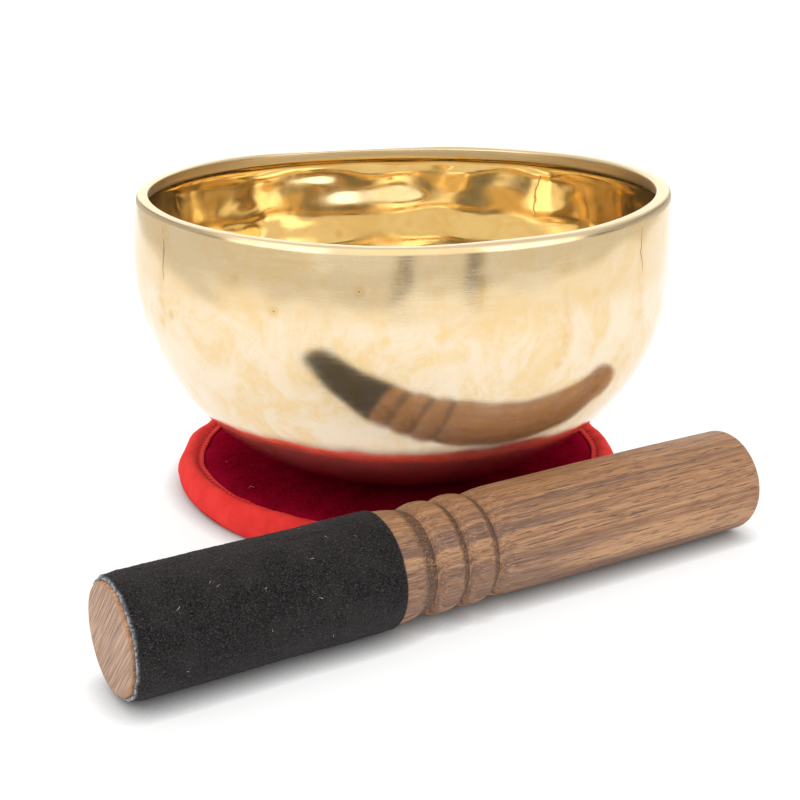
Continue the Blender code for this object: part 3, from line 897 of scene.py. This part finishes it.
def build_mat():
    rise = simulate_padding()
    wad = build_padding(rise)
    build_velvet(rise)
    build_backing()
    build_binding()
    build_lint()
    build_stitches("mat_stitches_top", "mat_thread_top", 10.18 * MM, 1)
    build_stitches("mat_stitches_under", "mat_thread_bobbin", 0.24 * MM, -1)


# ---------------------------------------------------------------- the mallet

HANDLE_FOOT = MALLET_LENGTH - HANDLE_ROUNDING
MALLET_PITCH = math.atan2(SLEEVE_RADIUS - HANDLE_END_RADIUS, HANDLE_FOOT - SLEEVE_END)
MALLET_HEIGHT = SLEEVE_RADIUS / math.cos(MALLET_PITCH) + SLEEVE_END * math.sin(MALLET_PITCH)


def place_on_mallet(piece):
    """Puts a piece that is modelled along its own Z axis where the mallet lies."""
    piece.location = MALLET_END + Vector((0.0, 0.0, MALLET_HEIGHT))
    piece.rotation_euler = (0.0, math.pi / 2 + MALLET_PITCH, MALLET_HEADING)
    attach(piece, "mallet")


def stick_radius(along):
    """The turned radius at each distance along the stick."""
    radius = np.full(along.shape, CORE_RADIUS)
    start = SLEEVE_END + 0.3 * MM
    for number, groove in enumerate(GROOVES_AT):
        share = np.clip((along - start) / (groove - start), 0.0, 1.0)
        if number == 0:
            share = 0.45 + 0.55 * share
        rising = np.sqrt(np.clip(1 - (1 - share / 0.45) ** 2, 0, 1))
        falling = 1 - np.clip((share - 0.45) / 0.55, 0, 1) ** 2.2
        swell = COLLAR_RADIUS + 0.15 * MM - GROOVE_RADIUS
        crown = GROOVE_RADIUS + swell * np.where(share < 0.45, rising, falling)
        radius = np.where((along >= start) & (along <= groove), crown, radius)
        start = groove
    share = (along - start) / (HANDLE_FOOT - start)
    shoulder = np.sqrt(np.clip(1 - (1 - np.clip(share / 0.085, 0, 1)) ** 2, 0, 1))
    swell = HANDLE_RADIUS - (HANDLE_RADIUS - HANDLE_END_RADIUS) * (2 * share - 1) ** 2
    radius = np.where(along > start, GROOVE_RADIUS + (swell - GROOVE_RADIUS) * shoulder, radius)
    end = np.clip((along - HANDLE_FOOT) / HANDLE_ROUNDING, 0, 1)
    rounded = HANDLE_END_RADIUS - HANDLE_ROUNDING * (1 - np.sqrt(1 - end**2))
    radius = np.where(along > HANDLE_FOOT, rounded, radius)
    return radius - 0.4 * MM * np.clip(1 - along / (0.4 * MM), 0, 1)


def build_stick():
    around = 220
    ends = [np.linspace(0, 0.4 * MM, 3), np.linspace(1 * MM, SLEEVE_END, 20)]
    rings = [np.linspace(SLEEVE_END + 0.3 * MM, GROOVES_AT[-1] + 8 * MM, 190)]
    handle = [np.linspace(GROOVES_AT[-1] + 9 * MM, HANDLE_FOOT, 80),
              HANDLE_FOOT + HANDLE_ROUNDING * np.sin(np.linspace(0.1, math.pi / 2, 12))]
    along = np.concatenate(ends + rings + handle)
    radius = stick_radius(along)
    first = np.linspace(0.05, 0.97, 14) * radius[0]
    last = np.linspace(0.97, 0.05, 14) * radius[-1]
    heights = np.concatenate([np.zeros(14), along, np.full(14, along[-1])])
    radii = np.concatenate([first, radius, last])
    points, angle = ring_points(radii, heights, around)
    flat = points.reshape(-1, 3)
    depth = np.clip((COLLAR_RADIUS - np.repeat(radii, around)) / (COLLAR_RADIUS - GROOVE_RADIUS), 0, 1)
    body = (flat[:, 2] > SLEEVE_END) & (flat[:, 2] < HANDLE_FOOT)
    depth = np.where(body, depth, 0.0)
    apart = np.maximum(heights, 0) + 1e-7 * np.arange(len(heights))
    # the painted shade reaches further over each groove's falling side
    falls = np.repeat(smoothstep(0.02, 0.30, -np.gradient(radii, apart)), around)
    depth = np.clip(depth * (0.12 + 1.5 * falls), 0, 1)
    out = flat[:, :2] / np.maximum(np.linalg.norm(flat[:, :2], axis=1, keepdims=True), 1e-9)
    rough = 0.03 * MM * ripple(flat * (1, 1, 3), 2.2 * MM, 41) * smoothstep(0.45, 0.9, depth)
    slow = 0.05 * MM * ripple(flat, 26 * MM, 42)
    flat = flat.copy()
    flat[:, :2] += out * (rough + slow * (np.repeat(radii, around) > 0.9 * CORE_RADIUS))[:, None]
    mesh = capped_shell("mallet_wood", flat, np.array([[0, 0, 0], [0, 0, along[-1]]]), around)
    stick = add_object("mallet_wood", mesh)
    mesh.materials.append(hardwood())
    place_on_mallet(stick)
    # painted shade in the grooves, darkest on the side turned away from the bowl
    from_bowl = Vector((math.sin(MALLET_HEADING), -math.cos(MALLET_HEADING), 0))
    away = stick.matrix_basis.to_3x3().inverted() @ from_bowl
    shade_weight = 0.30 + 0.70 * smoothstep(-0.5, 0.4, out @ np.array(away[:2]))
    set_attribute(mesh, "groove", np.concatenate([depth * shade_weight, [0, 0]]))
    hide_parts("mallet_stick")


def hardwood():
    """Brown hardwood: growth layers cut at a slant, dark streaks, short pores, rough grooves with painted
    shade.
    """
    s = Shader("mallet_hardwood", Specular_IOR_Level=0.35)
    place = s.place()
    slant = s.node("Mapping", Vector=place, Rotation=(0.0, 0.0, math.radians(62)))
    bend = s.noise(s.stretch(slant, (30.0, 30.0, 7.0)), 1.0, 2.0)
    layers = s.noise(s.stretch(slant, (620.0, 75.0, 7.0)), 1.0, 4.0, 0.62, 0.35)
    streaks = s.noise(s.stretch(slant, (210.0, 60.0, 5.5)), 1.0, 3.0, 0.5, 0.5)
    fibres = s.noise(s.stretch(slant, (2600.0, 2600.0, 55.0)), 1.0, 3.0, 0.7)
    pores = s.noise(s.stretch(slant, (2100.0, 2100.0, 150.0)), 1.0, 1.0)
    colour = s.mix(s.span(bend, 0.35, 0.65), (0.415, 0.210, 0.098), (0.525, 0.290, 0.150))
    colour = s.mix(s.span(layers, 0.40, 0.64), colour, (0.270, 0.128, 0.062))
    colour = s.tint(colour, s.span(streaks, 0.55, 0.67), 0.75, (0.150, 0.082, 0.066))
    lines = s.noise(s.stretch(slant, (1500.0, 150.0, 7.0)), 1.0, 2.0, 0.5, 0.3)
    colour = s.tint(colour, s.span(lines, 0.58, 0.68), 0.70, (0.120, 0.060, 0.042))
    colour = s.tint(colour, s.span(fibres, 0.48, 0.70), 0.50, (0.64, 0.39, 0.215))
    dark_fibre = s.noise(s.stretch(slant, (3300.0, 3300.0, 120.0)), 1.0, 3.0, 0.7)
    colour = s.tint(colour, s.span(dark_fibre, 0.50, 0.64), 0.70, (0.16, 0.078, 0.040))
    pore = s.span(pores, 0.61, 0.69)
    colour = s.tint(colour, pore, 0.75, (0.11, 0.058, 0.040))
    sawn = s.node("Mapping", Vector=place, Rotation=(0.0, 0.0, math.radians(-41)))
    saw_lines = s.noise(s.stretch(sawn, (45.0, 1900.0, 1.0)), 1.0, 2.0, 0.6)
    rings = s.noise(s.stretch(sawn, (60.0, 330.0, 1.0)), 1.0, 2.0)
    end_colour = s.mix(s.span(saw_lines, 0.40, 0.60), (0.28, 0.155, 0.098), (0.52, 0.335, 0.225))
    end_colour = s.tint(end_colour, s.span(rings, 0.48, 0.66), 0.5, (0.30, 0.185, 0.150))
    split = s.node("SeparateXYZ", place)
    reach = s.node("VectorMath", s.node("CombineXYZ", split.outputs["X"], split.outputs["Y"], 0.0),
                   operation="LENGTH").outputs["Value"]
    end_colour = s.mix(s.times(s.span(reach, 13.2 * MM, 14.9 * MM), 0.75), end_colour,
                       (0.42, 0.20, 0.075))
    near_face = s.span(split.outputs["Z"], 0.05 * MM, 0.30 * MM, 1.0, 0.0)
    colour = s.mix(near_face, colour, end_colour)
    groove = s.attribute("groove")
    crumbs = s.noise(place, 1500.0, 4.0, 0.7)
    shade_weight = s.times(s.span(groove, 0.08, 0.60), s.span(crumbs, 0.30, 0.60))
    # painted shade: the grooves are darkened, most deeply on the side away from the bowl
    colour = s.tint(colour, s.span(groove, 0.05, 0.5), 0.35, (0.20, 0.10, 0.045))
    colour = s.tint(colour, shade_weight, 0.9, (0.060, 0.030, 0.020))
    height = s.minus(s.times(fibres, 0.5), pore)
    height = s.plus(height, s.times(s.times(groove, crumbs), 2.0))
    height = s.plus(height, s.times(s.times(near_face, saw_lines), 0.8))
    rough = s.span(fibres, 0.3, 0.7, 0.50, 0.64)
    return s.finish(Base_Color=colour, Roughness=rough, Normal=s.bump(height, 0.08 * MM, 0.6))


def suede():
    """Black napped suede: matt, with paler brushed flecks, and grey where it is cut."""
    s = Shader("black_suede", Roughness=1.0, Sheen_Weight=0.15, Sheen_Roughness=0.5,
               Sheen_Tint=(0.35, 0.33, 0.34, 1.0), Specular_IOR_Level=0.08)
    place = s.place()
    nap = s.noise(place, 2100.0, 5.0, 0.8)
    cloud = s.noise(place, 110.0, 3.0, 0.6)
    fleck = s.noise(s.stretch(place, (1.0, 1.0, 0.55)), 3400.0, 2.0, 0.6)
    colour = s.mix(s.span(nap, 0.40, 0.62), (0.003, 0.0026, 0.0028), (0.036, 0.031, 0.032))
    colour = s.tint(colour, s.span(cloud, 0.42, 0.68), 0.45, (0.034, 0.029, 0.030))
    colour = s.tint(colour, s.span(fleck, 0.60, 0.70), 0.55, (0.15, 0.145, 0.145))
    cut = s.attribute("cut")
    felted = s.span(s.noise(place, 1300.0, 3.0), 0.38, 0.60, 0.25, 1.0)
    colour = s.mix(s.times(cut, felted), colour, (0.42, 0.43, 0.45))
    colour = s.mix(s.attribute("pale"), colour, (0.62, 0.60, 0.55))
    return s.finish(Base_Color=colour, Normal=s.bump(nap, 0.30 * MM, 0.9))


def nap(surface):
    """Loose fibres standing off the suede, as thin triangles, and a few pale bits of lint."""
    rng = np.random.default_rng(61)
    count, lint = 6500, 34
    root = surface[rng.integers(0, len(surface), count)]
    root = root + rng.normal(0, 0.15 * MM, root.shape) * (0.2, 0.2, 1.0)
    out = root * (1, 1, 0)
    out /= np.linalg.norm(out, axis=1, keepdims=True)
    lean = rng.normal(0, 1, (count, 3))
    lean -= out * (lean * out).sum(1, keepdims=True)
    lean /= np.linalg.norm(lean, axis=1, keepdims=True)
    length = rng.uniform(0.25, 0.75, count) * MM
    rise, reach = np.full(count, 0.45), np.full(count, 0.9)
    thick = np.full(count, 0.022 * MM)
    length[:lint], rise[:lint], thick[:lint] = rng.uniform(0.5, 2.2, lint) * MM, 0.10, 0.075 * MM
    side = np.cross(out, lean)
    tip = root + out * (length * rise)[:, None] + lean * (length * reach)[:, None]
    lifted = root + out * 0.05 * MM
    aside = side * thick[:, None]
    points = np.stack([lifted - aside, lifted + aside, tip], 1).reshape(-1, 3)
    pale = np.repeat((np.arange(count) < lint) * rng.uniform(0.4, 1.0, count), 3)
    return points, np.arange(3 * count).reshape(-1, 3), pale


def build_sleeve():
    around, rings = 300, 150
    middle = np.linspace(SLEEVE_START + 0.4 * MM, SLEEVE_END - 0.4 * MM, rings)
    along = np.concatenate([[SLEEVE_START] * 2, middle, [SLEEVE_END] * 2])
    outer = np.full(len(along), SLEEVE_RADIUS)
    outer[[1, -2]] -= 0.30 * MM
    outer[[0, -1]] = (SLEEVE_RADIUS + SLEEVE_INNER) / 2
    radii = np.concatenate([outer, [SLEEVE_INNER, SLEEVE_INNER]])
    heights = np.concatenate([along, [SLEEVE_END, SLEEVE_START]])
    points, angle = ring_points(radii, heights, around)
    flat = points.reshape(-1, 3)
    outside = np.repeat(radii > SLEEVE_INNER + 0.5 * MM, around)
    out = flat[:, :2] / np.linalg.norm(flat[:, :2], axis=1, keepdims=True)
    wrinkle = 0.09 * MM * ripple(flat * (1, 1, 0.6), 18 * MM, 51) + 0.04 * MM * ripple(flat, 2.2 * MM, 52)
    tucked = -0.55 * MM * bell(flat[:, 2], SLEEVE_START, 2.6 * MM)
    edge = bell(flat[:, 2], SLEEVE_START, 1.2 * MM)
    frayed = edge * 0.16 * MM * ripple(flat * (1, 1, 0.1), 3.5 * MM, 53)
    flat = flat.copy()
    flat[:, :2] += out * np.where(outside, wrinkle + frayed + tucked, 0.0)[:, None]
    flat[:, 2] += np.where(outside, edge * 0.12 * MM * ripple(flat, 4 * MM, 54), 0.0)
    fibres, blades, pale = nap(flat[outside & (flat[:, 2] > SLEEVE_START + 0.3 * MM)])
    mesh = make_mesh("mallet_suede_sleeve", np.concatenate([flat, fibres]),
                     wrap_grid(len(radii), around, True), blades + len(flat))
    cut = bell(heights, SLEEVE_START, 0.35 * MM) * (radii < SLEEVE_RADIUS + 0.1 * MM)
    set_attribute(mesh, "cut", np.concatenate([np.repeat(cut, around), 0 * pale]))
    set_attribute(mesh, "pale", np.concatenate([np.zeros(len(flat)), pale]))
    sleeve = add_object("mallet_suede_sleeve", mesh)
    mesh.materials.append(suede())
    place_on_mallet(sleeve)
    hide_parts("mallet_suede")


# ---------------------------------------------------------------- studio

FLOOR_HALF = 6.0
FLOOR_SHADOW_REACH = 7.0 * MM
FLOOR_GLOW = 0.70


def build_floor():
    """A plain white table top, lit through from below, whose glow darkens right where something stands on
    it: a painted contact shadow.
    """
    corners = [(x * FLOOR_HALF, y * FLOOR_HALF, 0) for x, y in ((-1, -1), (1, -1), (1, 1), (-1, 1))]
    mesh = make_mesh("studio_floor", corners, [(0, 1, 2, 3)], smooth=False)
    s = Shader("white_paper", Roughness=0.9, Specular_IOR_Level=0.2)
    fibre = s.noise(s.place(), 900.0, 3.0)
    # painted contact shadow: the floor's glow is cut by ambient occlusion near anything standing on it
    near = s.node("AmbientOcclusion", Distance=FLOOR_SHADOW_REACH, samples=8).outputs["AO"]
    glow_with_painted_shadow = s.times(s.math("POWER", near, 1.2), FLOOR_GLOW)
    s.principled.inputs["Emission Color"].default_value = (1.0, 1.0, 1.0, 1.0)
    paper = s.mix(s.span(fibre, 0.3, 0.7), (0.31, 0.31, 0.308), (0.34, 0.34, 0.338))
    mesh.materials.append(s.finish(Base_Color=paper, Emission_Strength=glow_with_painted_shadow))
    floor = add_object("studio_floor", mesh)


def glow(name, colour, strength):
    """Plain emission that fades out where the piece's fade attribute goes to nothing."""
    material = bpy.data.materials.new(name)
    material.use_nodes = True
    tree = material.node_tree
    tree.nodes.clear()
    kinds = ("Emission", "Attribute", "BsdfTransparent", "MixShader", "OutputMaterial")
    light, fade, clear, mix, output = (tree.nodes.new("ShaderNode" + kind) for kind in kinds)
    light.inputs["Color"].default_value = (*colour, 1.0)
    light.inputs["Strength"].default_value = strength
    fade.attribute_name = "fade"
    for source, socket in ((fade.outputs["Fac"], mix.inputs[0]), (clear.outputs[0], mix.inputs[1]),
                           (light.outputs[0], mix.inputs[2]), (mix.outputs[0], output.inputs[0])):
        tree.links.new(source, socket)
    return material


def build_card(name, headings, heights, radius, colour, strength, soft=0.2, steps=49):
    """An upright curved card that only shiny surfaces see, its two ends fading out. Headings are degrees
    from the camera's side, positive to the right."""
    share = np.linspace(0, 1, steps)
    angle = np.radians(headings[0] + share * (headings[1] - headings[0]))
    points = [(radius * math.sin(a), -radius * math.cos(a), z) for z in heights for a in angle]
    near = np.arange(steps - 1)
    quads = np.stack([near, near + 1, near + 1 + steps, near + steps], -1)
    mesh = make_mesh(name, points, quads, smooth=False)
    ends = np.minimum(share, 1 - share)
    fade = smoothstep(0.0, soft, ends) if soft else np.ones(steps)
    set_attribute(mesh, "fade", np.tile(fade, 2))
    mesh.materials.append(glow(name, colour, strength))
    card = add_object(name, mesh)
    card.visible_camera = False
    card.visible_diffuse = False
    card.visible_shadow = False


def build_surroundings():
    """What the polished metal mirrors: the table's grey far edge, two dark stands, a dark room on both
    sides, a bright backdrop, and the glow on and beside whoever stands behind the camera."""
    warm, white = (1.0, 0.98, 0.92), (1.0, 0.98, 0.95)
    build_card("horizon_card", (-180.0, 180.0), (0.002, 0.105), 0.60, warm, 0.76, 0.0, 97)
    build_card("stripe_middle", (-1.9, 3.1), (0.002, 0.108), 0.58, (0.95, 0.95, 1.0), 0.20, 0.25)
    build_card("stripe_right", (20.4, 29.0), (0.002, 0.108), 0.58, (0.95, 0.97, 1.0), 0.26, 0.35)
    build_card("dark_left", (-152.0, -66.0), (0.112, 0.60), 1.00, warm, 0.24)
    build_card("dark_right", (66.0, 152.0), (0.112, 0.60), 1.00, warm, 0.26)
    build_card("backdrop", (142.0, 218.0), (0.112, 0.60), 1.00, white, 2.2)
    build_card("photographer", (-34.0, 34.0), (0.170, 0.70), 0.97, (1.0, 0.95, 0.80), 1.30, 0.3)
    build_card("glow_left", (-78.0, -24.0), (0.150, 0.60), 0.98, white, 2.30)
    build_card("glow_right", (24.0, 78.0), (0.150, 0.60), 0.98, white, 2.30)


def build_lights():
    world = bpy.data.worlds.new("studio")
    bpy.context.scene.world = world
    world.use_nodes = True
    sky = world.node_tree.nodes["Background"]
    sky.inputs["Color"].default_value = (1.0, 0.995, 0.985, 1.0)
    sky.inputs["Strength"].default_value = 1.05
    for name, place, size, power in (("softbox_top", (0.05, 0.45, 1.20), 0.90, 2.6),
                                     ("softbox_front", (0.10, -1.50, 0.80), 0.90, 3.0),
                                     ("softbox_left", (-1.00, -0.40, 0.85), 0.60, 1.5)):
        light = bpy.data.lights.new(name, "AREA")
        light.shape = "SQUARE"
        light.size = size
        light.energy = power
        lamp = add_object(name, light)
        lamp.visible_glossy = name != "softbox_top"
        lamp.location = place
        lamp.rotation_euler = (-Vector(place)).to_track_quat("-Z", "Y").to_euler()


CAMERA_PLACE = (0.0, -0.4768, 0.1950)
CAMERA_TILT, CAMERA_PAN, CAMERA_ROLL = 0.3329, -0.0026, -0.0060


def build_camera():
    """Close in front of the set, a little above the rim, looking down on it."""
    data = bpy.data.cameras.new("camera")
    data.lens, data.sensor_width = 67.0, 36.0
    data.clip_start = 0.01
    camera = add_object("camera", data)
    facing = Matrix.Rotation(-CAMERA_PAN, 4, "Z") @ Matrix.Rotation(math.pi / 2 - CAMERA_TILT, 4, "X")
    facing = facing @ Matrix.Rotation(CAMERA_ROLL, 4, "Z")
    camera.matrix_world = Matrix.Translation(CAMERA_PLACE) @ facing
    bpy.context.scene.camera = camera


build_camera()
build_floor()
build_surroundings()
build_lights()
build_bowl()
build_mat()
build_stick()
build_sleeve()

bpy.context.scene.view_settings.view_transform = "Standard"
